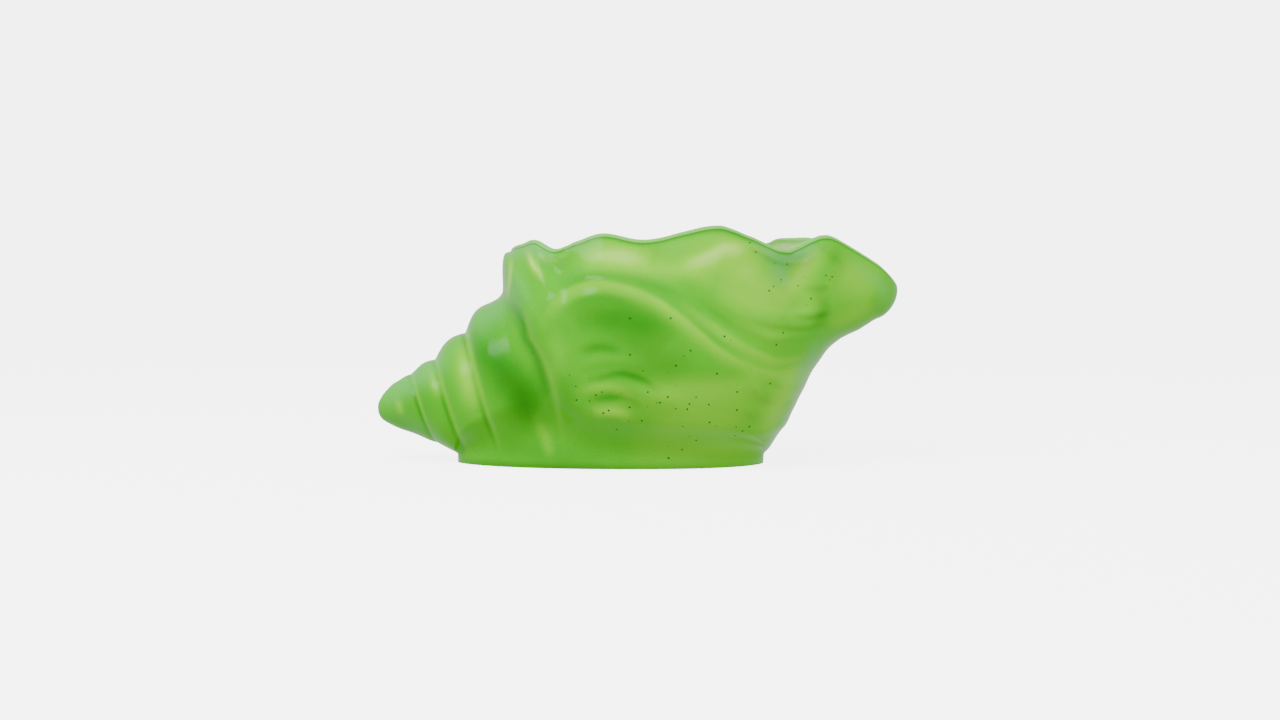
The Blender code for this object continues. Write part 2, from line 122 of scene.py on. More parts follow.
FAR_RIM = [(-60, 99), (-50, 102), (-40, 101), (-30, 98), (-14, 104), (2, 100), (20, 105), (38, 99),
           (56, 99.5), (67, 100.5), (73.7, 103.8), (77.4, 106.2), (81, 107), (86, 106.7), (92, 106.2),
           (98, 105.2), (103, 103.6), (108, 100.6), (112, 97), (119, 92), (125, 88)]
LEAN_SHARE = [(-125, 0), (-110, 1), (95, 1), (112, 0.5), (125, 0)]

# The spire: its turns, counted along the top, and its size where one turn meets the next.
TURNS = [(-125, 0), (-106.2, 1), (-93.2, 2), (-76.6, 3), (-58.5, 4), (-36, 5), (0, 6)]
SPIRE_UP = [(-125, 5.5), (-118, 9.2), (-111, 12.3), (-106.2, 14.2), (-93.2, 19.9), (-76.6, 29.8),
            (-58.5, 41), (-36, 43)]
SPIRE_SIDE = [(-125, 7.5), (-116, 11.5), (-106.5, 15), (-93.8, 21.5), (-77.4, 30.5), (-58.5, 39.5),
              (-36, 44)]
SPIRE_DOWN = [(-125, 8), (-121, 8.5), (-112, 12.2), (-106.5, 14.8), (-101, 17.8), (-96, 20.8),
              (-91.5, 23.6), (-85, 28.5), (-77.4, 32.5), (-58.5, 41), (-36, 46)]
STEP_POWER = 2.6  # how fully a turn swells out right past the seam: 1 is even growth
STEP_POWER_BELOW = 1.3  # and how fully it does underneath
STEPPED = (0.6, 1.6)  # the first turn, round the tip, is smooth
SPIRE_FADE = (-40.0, 0.0)

# The body's shoulder, where it swells out of the spire.
SHOULDER = (-57.2, -50.0)  # station at the top and at the bottom
SHOULDER_LENGTH = (6.0, 30.0)
NEAR_SHOULDER = 3.0  # how far the front's shoulder stands back from the back's, as knobs of their own
SEAM_FILLET = 5.0
SLANT_START = (-95.0, -60.0)
SLANT_END = (-42.0, 30.0)

# Folds of the side: (x, z) points along the crest, crest height, reach above and reach below.
FOLDS = [
    ([(-46, 60), (-43, 70), (-35, 79.5), (-22, 85.5), (-6, 84.5), (9, 78.5), (22, 69.5), (35, 57),
      (49, 49), (65, 43), (80, 40)], 3.4, 6.0, 15.0),
    ([(-33, 73), (-24, 77.5), (-14, 78.5)], 1.2, 3.0, 5.0),
    ([(-27, 57), (-18, 59.5), (-8, 58.5)], 1.0, 4.0, 6.0),
    ([(-25, 47), (-13, 50.5), (2, 47)], 1.4, 4.0, 6.5),
    ([(-22, 34), (-10, 38.5), (4, 35.5), (18, 31)], 1.6, 4.0, 6.5),
    ([(-20, 23), (-8, 26.5), (6, 24)], 1.2, 4.0, 6.0),
    ([(22, 88), (38, 78), (54, 69), (72, 66), (88, 67)], 1.9, 5.0, 7.0),
    ([(28, 74), (42, 64), (56, 58), (72, 55), (86, 57)], 1.7, 4.5, 6.0),
    ([(50, 39), (62, 35.5), (76, 36.5), (90, 38)], 1.7, 4.0, 5.0),
    ([(46, 29), (58, 26), (72, 28), (86, 30)], 1.5, 4.0, 4.5),
    ([(44, 20), (56, 17.5), (68, 20), (80, 21)], 1.2, 3.5, 4.0),
]
VALLEY_SHARE = 0.35  # depth of the valley above a crest, as a share of the crest's height
VALLEY_PLACE = 1.9  # its distance from the crest, in reaches
FOLD_TAPER = 0.6  # how soon a fold loses its height towards its ends
FOLD_ENDS = (0.02, 0.98)  # a little height is left at the ends themselves
FOLDED = (0.3, 0.9)  # the folds grow over this part of the shoulder
CROWN_FADE = 0.4  # and fade this close to the spire's crown, as an angle
KEEL_FADE = 0.6
FAR_FOLD_SHIFT = (9.0, -3.0)  # the back carries the same folds, moved along
FAR_FOLD_JOIN = (10.0, 60.0)  # and runs back to the front's folds between these places
FOLD_FEET = (8.0, 20.0)  # heights between which the folds rise out of the foot

# Flutes that run down from the rim: (station, how far out, half length along the rim).
NEAR_FLUTES = [(-38, 3.0, 8), (-25, -2.0, 6), (-4, 1.8, 13), (15, -1.0, 8), (46, 2.2, 15), (77.5, -3.4, 8),
               (96, 1.8, 8)]
FAR_FLUTES = [(-42, 2.4, 8), (-30, -1.6, 6), (-14, 1.8, 9), (3, -1.6, 8), (20, 1.9, 9), (38, -1.8, 8),
              (68, 2.6, 14), (91, -2.2, 7)]
FLUTE_REACH = 24.0
FLUTE_START = (-44.0, -34.0)
LIP_ROLL = 1.8  # how far the lip turns out where the rim dips, per unit of the dip
LIP_REACH = 5.0

# Finer relief, which only the skin carries: the lip's turned edge in its two dips, and thin ribs.
FINE_FOLDS = [
    ([(49, 105), (57, 101.3), (62.5, 98.6), (69, 96.8), (77, 96.4), (84, 100)], 2.2, 4.5, 1.5),
    ([(-48, 101.5), (-44, 98), (-40, 96.2), (-36, 97), (-31, 100.5)], 1.4, 3.5, 1.3),
    ([(-27, 41), (-12, 44), (2, 41)], 0.6, 2.5, 3.5),
    ([(-22, 28.5), (-10, 32), (4, 29.5)], 0.6, 2.5, 3.5),
    ([(30, 80), (46, 71), (62, 61), (80, 61)], 0.5, 2.2, 2.6),
    ([(34, 67), (50, 58), (66, 51), (80, 52)], 0.5, 2.2, 2.6),
    ([(60, 73), (72, 71), (84, 73)], 0.5, 2.0, 2.4),
    ([(58, 45), (70, 40), (80, 41)], 0.6, 2.2, 2.6),
]

# Where the glaze has run thin, and where highlights and light are painted: (x, z) points along a streak,
# reach above, reach below, strength. Past a strength of 1 it turns pale green, and past 2 it turns to
# cream.
THIN_AND_HIGHLIGHT_STREAKS = [
    # The main fold's crest, and the fold beside it: painted highlights along their crests.
    ([(-43, 70), (-37, 78), (-28, 84), (-18, 86.5), (-6, 84.5), (7, 79.5), (18, 72.3), (29, 63), (38, 55.5),
      (49, 49.5), (63, 45), (75, 46)], 1.2, 4.0, 0.95),
    ([(18, 80), (30, 70), (43, 61), (55, 54), (66, 50), (77, 52)], 1.6, 4.0, 0.75),
    # Broad pale lobes under the rim: painted highlights, the overhead softbox's reflection painted in.
    ([(-26, 97), (-14, 99), (-2, 98), (8, 96)], 5.0, 5.5, 1.5),
    ([(19, 93.5), (32, 98.5), (42, 102), (53, 102)], 3.2, 5.0, 1.35),
    ([(0, 91), (14, 94), (30, 94), (48, 92), (58, 90)], 5.0, 6.0, 0.5),
    ([(8, 101), (22, 103), (36, 106), (50, 106.5), (60, 101)], 3.5, 4.5, 0.5),
    ([(34, 83), (48, 77), (60, 73)], 6.0, 6.0, 0.45),
    ([(40, 99), (50, 97), (58, 93)], 6.0, 6.0, 0.35),
    ([(40, 69), (56, 64), (70, 61)], 5.0, 5.0, 0.35),
    ([(36, 90), (50, 86), (62, 80), (70, 74)], 8.0, 9.0, 0.85),
    ([(-20, 94), (0, 93), (20, 91), (36, 86)], 3.5, 4.0, 0.35),
    # The canal's ridge and its spout: a painted highlight down the ridge, and a paler spout.
    ([(85, 103), (80, 97), (74, 89), (68, 81)], 5.5, 5.5, 1.15),
    ([(48, 98), (57, 91), (62, 80)], 6.0, 6.0, 0.2),
    ([(90, 94), (102, 88), (114, 82)], 9.0, 11.0, 0.8),
    # The lip's turned edge: a painted highlight along it.
    ([(49, 105), (57, 101.3), (62.5, 98.6), (69, 96.8), (77, 96.4), (84, 100)], 1.0, 0.8, 0.7),
    ([(-46, 100), (-44, 98), (-40, 96.4), (-36, 97.2), (-31, 100.5)], 0.8, 0.8, 0.9),
    # The canal's side, and painted light on its underside.
    ([(66, 72), (78, 78), (88, 80)], 9.0, 9.0, 0.5),
    ([(88, 66), (100, 70), (113, 75)], 5.0, 5.0, 0.6),
    # The knob over the spire: painted highlights on its ridge and along its left edge.
    ([(-51, 102), (-48, 95), (-43, 88)], 1.8, 1.8, 1.6),
    ([(-58.5, 97), (-59, 88), (-60.5, 79)], 1.0, 1.4, 1.3),
    # Pale patches low on the side.
    ([(-26, 38), (-14, 39.5), (0, 35)], 2.2, 2.6, 0.7),
    ([(-21, 28), (-12, 28.5), (-2, 25.5)], 2.6, 3.0, 1.1),
    ([(-2, 34), (20, 37), (44, 38), (58, 42)], 6.0, 9.0, 0.75),
    ([(4, 20), (22, 23), (40, 24), (52, 28)], 7.0, 8.0, 0.55),
    # Down the body's shoulder; the line along its seam is a painted highlight on the fold's crest.
    ([(-40, 40), (-35, 54), (-38, 68)], 4.0, 4.0, 0.25),
    ([(-59, 80), (-51, 73), (-48.5, 61.5), (-43.5, 54), (-38.5, 40), (-36, 26), (-34, 8)], 1.6, 1.6, 0.3),
    # The spire's turns, and the shoulder where it meets the foot.
    ([(-83, 58), (-81, 48), (-78, 36), (-75, 26)], 4.0, 4.0, 0.9),
    ([(-98, 46), (-95.5, 39), (-92, 32)], 2.4, 2.4, 0.65),
    ([(-114, 31), (-113, 27), (-112, 23)], 1.8, 1.8, 0.7),
    ([(-46, 22), (-42, 13), (-40, 5)], 3.0, 3.0, 0.5),
    # Low towards the canal, along the keel and the foot.
    ([(56, 14), (63, 26), (70, 38), (80, 50)], 6.0, 6.0, 0.9),
    ([(-6, 8), (20, 8), (46, 9), (60, 5)], 7.0, 8.0, 0.45),
]

# Where it has pooled, and where shade and a dark reflection are painted, in the same terms. Past a strength
# of 1 it turns towards bottle green.
POOLS_AND_SHADE = [
    ([(-30, 66), (-12, 70), (6, 66), (16, 58)], 9.0, 11.0, 0.95),
    ([(-34, 72), (-26, 79), (-14, 80.5), (0, 77)], 1.5, 3.0, 0.45),
    ([(-26, 55), (-16, 57), (-6, 55)], 2.0, 2.5, 0.7),
    ([(-20, 43), (-8, 45.5), (2, 43), (12, 36)], 1.6, 2.2, 1.1),
    ([(-20, 33.5), (-8, 35), (3, 30.5)], 1.6, 2.2, 1.0),
    ([(-8, 54), (10, 50), (26, 46)], 7.0, 8.0, 0.55),
    ([(-76, 6), (-56, 8), (-36, 6), (-12, 5)], 7.0, 7.0, 0.6),
    # Above the main fold.
    ([(-38, 84), (-28, 88), (-10, 90), (7, 85.5), (24, 74.5), (34, 61)], 3.2, 3.2, 0.6),
    # The spire, its largest turn and its seam.
    ([(-118, 25), (-100, 31), (-84, 40)], 9.0, 9.0, 0.35),
    # A painted reflection of dark surroundings: the broad dark patch on the largest turn.
    ([(-80, 64), (-70, 54), (-60, 43), (-50, 34), (-42, 29)], 9.5, 10.0, 1.3),
    ([(-74, 68), (-64, 70), (-54, 66)], 7.0, 7.0, 0.35),
    ([(-61, 34), (-52, 26), (-44, 16)], 8.0, 8.0, 0.5),
    ([(-61, 79), (-54, 71.5), (-51, 61.5), (-46.5, 54.6), (-41.5, 40), (-40, 32)], 3.0, 3.0, 0.95),
    ([(-36, 48), (-32, 37), (-30, 26)], 5.0, 5.0, 0.4),
    # Between the folds towards the canal.
    ([(24, 81), (35, 73), (49, 64), (65, 59.5), (82, 60.5)], 1.6, 2.2, 0.45),
    ([(27, 68), (40, 59), (54, 53), (68, 48.5), (80, 49.5)], 1.2, 2.0, 0.5),
    ([(50, 70), (62, 66), (76, 65), (86, 67)], 1.4, 1.8, 0.6),
    ([(74, 84), (82, 83), (90, 84)], 1.8, 1.8, 0.8),
    ([(70, 72), (80, 70), (90, 72)], 1.6, 1.6, 0.8),
    ([(60, 42), (68, 38), (76, 38)], 1.6, 2.2, 0.7),
    ([(56, 33), (64, 30.5), (74, 31)], 1.2, 1.8, 0.7),
    # Painted shade under the lip's dip, and darker patches at the canal.
    ([(50, 102.5), (56, 99.5), (62.5, 96.3), (69, 94.6), (78, 94.4), (83, 97)], 0.9, 1.6, 0.9),
    ([(64, 92), (67, 88), (68, 84)], 5.0, 5.0, 0.35),
    ([(82, 84), (86, 74), (84, 64)], 4.0, 4.0, 0.8),
    ([(88, 100), (95, 94), (92, 84)], 3.5, 3.5, 0.8),
]

# Where its green is bluer.
COOL_STREAKS = [
    ([(-56, 100), (-50, 103), (-42, 101), (-36, 98)], 4.0, 5.0, 0.9),
    ([(-58, 92), (-54, 84), (-50, 76)], 4.0, 5.0, 0.5),
    ([(-76, 62), (-68, 72), (-60, 74)], 5.0, 6.0, 0.6),
    ([(-122, 28), (-112, 36), (-100, 44), (-88, 54)], 5.0, 5.0, 0.7),
    ([(54, 104), (62, 100.5), (70, 99), (78, 100), (85, 104)], 3.5, 3.5, 1.2),
    ([(63, 96), (66, 90), (67, 84)], 5.0, 5.0, 0.7),
    ([(100, 96), (112, 88), (118, 80), (112, 72)], 3.0, 4.0, 0.4),
    ([(-120, 22), (-104, 16), (-92, 10)], 5.0, 5.0, 0.5),
    ([(84, 60), (80, 48), (72, 38)], 3.5, 3.5, 0.6),
]
SEAM_THIN = (0.06, 0.06, 0.5)  # the pale line past each seam of the spire: place, reach, strength
SEAM_POOL = (-0.06, 0.07, 0.7)  # and the dark one before it
SEAM_START = (0.6, 0.9)  # the lines begin over this part of the first turn
SEAM_END = (-74.0, -64.0)  # and end between these stations
SEAM_FEET = (2.0, 24.0)  # heights between which they rise out of the foot
FAR_TONE_START = (-52.0, -40.0)  # stations over which the back's tones move along with its folds

# The glaze's pinholes lie in these patches: (x, z) of the middle, reach, share of the spots filled.
PINHOLES = [(14, 28, 24, 0.8), (70, 82, 15, 1.0), (-20, 38, 10, 0.4), (86, 94, 9, 0.7)]
PINHOLE_CELLS = 330.0  # cells in a metre, each with one spot at most
PINHOLE_REACH = 0.2  # as a share of a cell
PINHOLE_EDGE = 12.0  # how sharply a pinhole's rim darkens
PINHOLE_CHANCE = 0.75  # that a spot is a pinhole, where a patch is full

# The rim's edge and the inside.
RIM_PALE = (0.0, 1.0)  # columns of the rim's round over which the glaze turns pale
RIM_THIN = 1.2
RIM_COOL = 0.9
RIM_LINE = 1.1  # depth of the dark line where the round starts
RIM_LINE_FADE = 0.2  # what is left of the thin glaze just outside it
FLOOR_THIN = 0.3  # how thin the glaze is on the bowl's floor
INNER_PAINTED_LIGHT = 2.3  # and how much paler it is painted towards the rim: painted light on the far crest, which stands in shade
INNER_COOL = 0.9
INNER_PALE = (90.0, 102.0)  # heights between which the inside turns pale

# The glaze's greens.
MID_GREEN = (0.076, 0.490, 0.001, 1.0)
DEEP_GREEN = (0.018, 0.285, 0.001, 1.0)
THIN_AND_HIGHLIGHT_GREEN = (0.240, 0.680, 0.010, 1.0)
COOL_GREEN = (0.130, 0.530, 0.115, 1.0)
PALE_GREEN = (0.580, 0.940, 0.170, 1.0)
# Painted light: the cream of the brightest painted highlights and of the inside by the rim.
PAINTED_LIGHT_CREAM = (0.850, 1.000, 0.520, 1.0)
BOTTLE_GREEN = (0.008, 0.100, 0.004, 1.0)
COOL_STRENGTH = 0.75
CLOUD_SCALE = 28.0  # the soft clouds that run through the glaze
CLOUD_DETAIL = 4.0
CLOUD_ROUGHNESS = 0.55
CLOUD_STRENGTH = 0.5
CLOUD_MIDDLE = 0.5  # the pattern's middle, where it changes nothing

# The skin's grid.
SPIRE_ROWS = 130
MOUTH_ROWS = 190
HOLLOW_ROWS = 44  # rows of the inner wall where it runs back into the spire
WALL_COLUMNS = 96
FOOT_COLUMNS = 8
INNER_COLUMNS = 48
RIM_COLUMNS = 8
EVENNESS = 0.4  # 0 crowds the rows towards the mouth's ends, 1 spreads them evenly
LINE_STEPS = 12  # pieces of a fold's or a streak's line for each of its points
TURN_STEPS = 2400  # places along the shell where the count of turns is looked up
FOOT_STEPS = 160  # tries down a row for the place where it meets the foot
LOWER_PART = 0.4  # which lies past this share of the row
FOOT_STEP = 0.1  # and steps along the shell for the foot's first and last row
NEAR, FAR = -1, 1


def through(knots):
    """A smooth curve through the knots that doesn't overshoot them."""
    places, values = np.array(knots, float).T
    gaps = np.diff(places)
    slopes = np.diff(values) / gaps
    before, after = slopes[:-1], slopes[1:]
    level = before * after <= 0
    joint = np.where(level, 1.0, before + after)
    inner = np.where(level, 0.0, 2 * before * after / joint)
    tangents = np.concatenate(([slopes[0]], inner, [slopes[-1]]))

    def curve(at):
        at = np.clip(at, places[0], places[-1])
        k = np.clip(np.searchsorted(places, at) - 1, 0, len(gaps) - 1)
        t = (at - places[k]) / gaps[k]
        start, end = values[k], values[k + 1]
        rise, fall = tangents[k] * gaps[k], tangents[k + 1] * gaps[k]
        return (start * (1 + 2 * t) * (1 - t) ** 2 + rise * t * (1 - t) ** 2
                + end * t * t * (3 - 2 * t) + fall * t * t * (t - 1))

    return curve


axis_height = through(AXIS_HEIGHT)
keel = through(KEEL)
half_width = through(HALF_WIDTH)
rim_half_width = through(RIM_HALF_WIDTH)
near_rim = through(NEAR_RIM)
far_rim = through(FAR_RIM)
lean_share = through(LEAN_SHARE)
turns = through(TURNS)
spire_up = through(SPIRE_UP)
spire_side = through(SPIRE_SIDE)
spire_down = through(SPIRE_DOWN)


def ease(low, high, at):
    """0 at low and 1 at high, with a soft start and end."""
    t = np.clip((at - low) / (high - low), 0, 1)
    return t * t * (3 - 2 * t)


def round_end(distance, radius):
    """0 at an end and 1 from radius on, along a quarter of a circle."""
    t = np.clip(distance / radius, 0, 1)
    return np.sqrt(t * (2 - t))


def round_spout(station):
    return round_end(SPOUT - station, SPOUT_ROUND)


def station_of_turn(turn):
    """The station where the spire's count of turns reaches turn."""
    places = np.linspace(TIP, 0, TURN_STEPS)
    return np.interp(turn, turns(places), places)


def stepped_station(station, angle, side):
    """The station whose size the spire takes here: each turn swells ahead of its even growth."""
    fraction = np.where(side == NEAR, angle / (2 * np.pi), 1 - angle / (2 * np.pi))
    phase = turns(station) - fraction
    whole = np.floor(phase)
    part = phase - whole
    power = STEP_POWER + (STEP_POWER_BELOW - STEP_POWER) * ease(np.pi / 2, np.pi, angle)
    power = 1 + (power - 1) * ease(*STEPPED, turns(station))
    return station_of_turn(whole + 1 - (1 - part) ** power + fraction)


def oval(angle, up, across, down, power):
    """Distance from the axis to an oval with its own reach up, across and down."""
    upright = np.where(np.cos(angle) > 0, up, down)
    height = np.abs(np.cos(angle)) / upright
    width = np.abs(np.sin(angle)) / across
    return (height ** power + width ** power) ** (-1 / power)


def greater(a, b, fillet):
    """The greater of two distances, with a fillet where they meet."""
    fillet = np.minimum(fillet, np.abs(a))
    return (a + b + np.sqrt((a - b) ** 2 + fillet ** 2)) / 2


def rim_height(station, side):
    """The outer rim's height. Both sides meet by the spire and at the spout."""
    parting = ease(OPENING, OPENING + RIM_PARTING, station) * (side == FAR)
    level = near_rim(station) * (1 - parting) + far_rim(station) * parting - RIM_WALL / 2
    centre = axis_height(station)
    return centre + (level - centre) * round_spout(station)


def mouth_half_width(station):
    """Half the mouth's width, round at the end by the spire and at the spout."""
    return rim_half_width(station) * round_end(station - OPENING, MOUTH_ROUND) * round_spout(station)


def body_oval(station, angle, inset, taper, mouth, rim):
    """Distance from the axis to the body whorl's oval, whose upper part runs through the rim."""
    centre = axis_height(station)
    across = np.maximum((half_width(station) - inset) * taper, TINY)
    down = np.maximum((centre - keel(station) - inset) * taper, TINY)
    share = np.clip(mouth / across, 0, WIDEST_MOUTH)
    up = np.maximum((rim - centre) / (1 - share ** FULLNESS) ** (1 / FULLNESS), TINY)
    return oval(angle, up, across, down, FULLNESS)


def distance_to_line(x, z, points):
    """Signed distance to a smooth line through the points (above it is positive), and its fade."""
    points = np.array(points, float)
    steps = np.arange(len(points))
    fine = np.linspace(0, len(points) - 1, LINE_STEPS * len(points))
    line_x = through(list(zip(steps, points[:, 0])))(fine)
    line_z = through(list(zip(steps, points[:, 1])))(fine)
    gap_x = x[..., None] - line_x
    gap_z = z[..., None] - line_z
    gap = np.hypot(gap_x, gap_z)
    nearest = gap.argmin(axis=-1)
    along_x = np.gradient(line_x)[nearest]
    along_z = np.gradient(line_z)[nearest]
    pick = np.expand_dims(nearest, -1)
    offset_x = np.take_along_axis(gap_x, pick, -1)[..., 0]
    offset_z = np.take_along_axis(gap_z, pick, -1)[..., 0]
    above = along_x * offset_z - along_z * offset_x
    place = nearest / (len(fine) - 1)
    fade = np.sin(np.pi * np.clip(place, *FOLD_ENDS)) ** FOLD_TAPER
    return np.copysign(gap.min(axis=-1), above), fade


def fold_relief(x, z, side):
    """How far the folds lift the wall. The back's folds are moved along, but join at the keel."""
    shift = (side == FAR) * (1 - ease(*FAR_FOLD_JOIN, x))
    x_line = x - FAR_FOLD_SHIFT[0] * shift
    z_line = z - FAR_FOLD_SHIFT[1] * shift
    lift = np.zeros_like(x)
    for points, height, above, below in FOLDS + FINE_FOLDS:
        gap, fade = distance_to_line(x_line, z_line, points)
        crest = np.exp(-((gap / np.where(gap > 0, above, below)) ** 2))
        valley = np.exp(-((gap / above - VALLEY_PLACE) ** 2))
        lift = lift + height * fade * (crest - VALLEY_SHARE * valley)
    return lift * ease(*FOLD_FEET, z)


def rim_relief(station, angle, below_rim, side):
    """Flutes under the rim, and a lip that rolls out where the rim dips."""
    lift = np.zeros_like(station)
    for which, flutes in ((NEAR, NEAR_FLUTES), (FAR, FAR_FLUTES)):
        for middle, out, reach in flutes:
            bump = np.exp(-(((station - middle) / reach) ** 2)) * (side == which)
            roll = LIP_ROLL * max(-out, 0)
            lift = lift + out * bump * np.exp(-((below_rim / FLUTE_REACH) ** 2))
            lift = lift + roll * bump * np.exp(-((below_rim / LIP_REACH) ** 2))
    kept = ease(*FLUTE_START, station) * ease(0, KEEL_FADE, np.pi - angle)
    return lift * kept * round_spout(station)


def spot(station, angle, distance, side):
    """Points at an angle and a distance from the axis: x, y and z."""
    height = distance * np.cos(angle)
    return np.stack((station - LEAN * lean_share(station) * height,
                     side * distance * np.sin(angle),
                     axis_height(station) + height), axis=-1)


def spire_distance(station, size, angle):
    """Distance from the axis to the spire, with the size that it has at another station."""
    ring = oval(angle, spire_up(size), spire_side(size), spire_down(size), ELLIPSE)
    return ring * round_end(station - TIP, TIP_ROUND) * (1 - ease(*SPIRE_FADE, station))


def shoulder_share(station, angle, side, shift):
    """0 before the body's shoulder and 1 past it."""
    turn = (1 - np.cos(angle)) / 2
    start = SHOULDER[0] + (SHOULDER[1] - SHOULDER[0]) * turn + shift
    start = start + NEAR_SHOULDER * (side == NEAR) * np.sin(angle) ** 2 * (1 - turn)
    length = SHOULDER_LENGTH[0] + (SHOULDER_LENGTH[1] - SHOULDER_LENGTH[0]) * turn
    return round_end(station - start, length)


def onto_foot(points, side):
    """The points, with the lowest part of the wall drawn in or out to the foot's oval."""
    x, y, z = np.moveaxis(points, -1, 0)
    end = np.where(x < FOOT_MIDDLE, *FOOT_ENDS)
    fullness = np.where(x < FOOT_MIDDLE, *FOOT_FULLNESS)
    share = np.clip((x - FOOT_MIDDLE) / (end - FOOT_MIDDLE), 0, 1)
    oval_half = FOOT_HALF_DEPTH * (1 - share ** fullness) ** (1 / fullness)
    blend = FOOT_BLEND[0] + (FOOT_BLEND[1] - FOOT_BLEND[0]) * ease(*FOOT_BLEND_CHANGE, x)
    blend = FOOT_HEIGHT + (blend - FOOT_HEIGHT) * (oval_half / FOOT_HALF_DEPTH) ** FOOT_BLEND_POWER + TINY
    pull = ease(blend, FOOT_HEIGHT, z) * ease(0, FOOT_DRAW, oval_half)
    return np.stack((x, y + (side * oval_half - y) * pull, z), axis=-1)


def outer_wall(station, angle, side):
    """Points of the outer wall, with its steps, folds and flutes."""
    rim = rim_height(station, side)
    share = shoulder_share(station, angle, side, 0.0)
    body = body_oval(station, angle, 0.0, round_spout(station), mouth_half_width(station), rim) * share
    spire = spire_distance(station, stepped_station(station, angle, side), angle)
    plain = greater(spire, body, SEAM_FILLET)
    x, _, z = np.moveaxis(spot(station, angle, plain, side), -1, 0)
    folded = ease(*FOLDED, share) * ease(0, CROWN_FADE, angle) * round_spout(station)
    relief = folded * fold_relief(x, z, side) + rim_relief(station, angle, rim - z, side)
    return onto_foot(spot(station, angle, plain + relief, side), side)


def inner_wall(station, angle, side, mouth, rim):
    """Points of the inner wall, which follows the plain form one wall further in."""
    taper = round_end(SPOUT - RIM_WALL - station, SPOUT_ROUND)
    body = body_oval(station, angle, SIDE_WALL, taper, mouth, rim)
    body = body * shoulder_share(station, angle, side, SIDE_WALL)
    spire = np.maximum(spire_distance(station, station, angle) - SIDE_WALL, 0)
    spire = spire * round_end(station - CAVITY, CAVITY_ROUND)
    plain = greater(spire, body, SEAM_FILLET)
    z = spot(station, angle, plain, side)[..., 2]
    points = spot(station, angle, plain + rim_relief(station, angle, rim - z, side), side)
    points[..., 2] = greater(points[..., 2], FLOOR, FLOOR_FILLET)
    return points


def rows_at(stations, top, share):
    """Stations and angles of a row's points, from the top down. Rows slant along the body's seam."""
    angle = top[:, None] + (np.pi - top)[:, None] * share
    slant = ease(*SLANT_START, stations) * (1 - ease(*SLANT_END, stations))
    slant = slant * (SHOULDER[1] - SHOULDER[0])
    return stations[:, None] + slant[:, None] * np.sin(np.pi * share / 2) ** 2, angle


def spread(start, end, count):
    """count + 1 places, closer together at both ends."""
    even = np.linspace(0, 1, count + 1)
    return start + (end - start) * (EVENNESS * even + (1 - EVENNESS) * (1 - np.cos(np.pi * even)) / 2)


def foot_share(stations, top, side):
    """How far down a row the outer wall meets the foot: 1 where it stays above it."""
    share = np.linspace(LOWER_PART, 1, FOOT_STEPS)
    rows = rows_at(stations, top, np.broadcast_to(share, (len(stations), FOOT_STEPS)))
    heights = outer_wall(*rows, side)[..., 2]
    return np.array([np.interp(FOOT_HEIGHT, row[::-1], share[::-1]) for row in heights])


def foot_ends():
    """The first and the last row that stand on the foot."""
    stations = np.arange(TIP + 1, SPOUT, FOOT_STEP)
    top = np.zeros_like(stations)
    keel_line = outer_wall(*rows_at(stations, top, np.ones((len(stations), 1))), NEAR)[:, 0, 2]
    standing = stations[keel_line < FOOT_HEIGHT]
    return standing[0], standing[-1]


def side_of_outer(stations, side):
    """One side of the outer wall, from the rim down, round the foot's edge and along its underside."""
    top = np.arctan2(mouth_half_width(stations), rim_height(stations, side) - axis_height(stations))
    top = np.where(stations < OPENING, 0.0, top)
    share = foot_share(stations, top, side)[:, None] * np.linspace(0, 1, WALL_COLUMNS + 1)
    wall = outer_wall(*rows_at(stations, top, share), side)
    first, last = foot_ends()
    standing = ((stations > first) & (stations < last))[:, None]
    keel_line = outer_wall(*rows_at(stations, top, np.ones((len(stations), 1))), side) * (1, 0, 1)
    across = np.linspace(1, 0, FOOT_COLUMNS + 1)[None, :, None]
    under = wall[:, -1:, :] * across + keel_line * (1 - across)
    under[..., 2] = np.where(standing, 0.0, under[..., 2])
    return np.concatenate((wall, under), axis=1)


def mouth_path(stations):
    """Where the inner rim runs beside the outer one: its stations and half widths."""
    half = mouth_half_width(stations)
    along = np.gradient(stations)
    across = np.gradient(half)
    across[0], along[0] = 1.0, 0.0
    across[-1], along[-1] = -1.0, 0.0
    length = np.hypot(along, across)
    return stations + RIM_WALL * across / length, np.maximum(half - RIM_WALL * along / length, 0)


def side_of_inner(closed, mouth, side):
    """One side of the inner wall, from the rim or the cavity's crown down to the floor's middle."""
    stations, half = mouth_path(mouth)
    rim = rim_height(mouth, side)
    half = np.concatenate((np.zeros(len(closed)), half))
    rim = np.concatenate((np.full(len(closed), rim[0]), rim))
    stations = np.concatenate((closed, stations))
    top = np.arctan2(half, rim - axis_height(stations))
    angle = top[:, None] + (np.pi - top)[:, None] * np.linspace(0, 1, INNER_COLUMNS + 1)
    wide = np.broadcast_to(stations[:, None], angle.shape)
    return inner_wall(wide, angle, side, half[:, None], rim[:, None])


def rim_round(outer, inner):
    """The rim's round top, from the outer wall's edge over to the inner wall's."""
    turn = np.linspace(0, np.pi, RIM_COLUMNS + 1)[None, :, None]
    middle = (outer + inner)[:, None, :] / 2
    reach = (outer - inner)[:, None, :] / 2
    rise = np.linalg.norm(reach, axis=-1, keepdims=True) * np.array([0, 0, 1.0])
    return middle + reach * np.cos(turn) + rise * np.sin(turn)


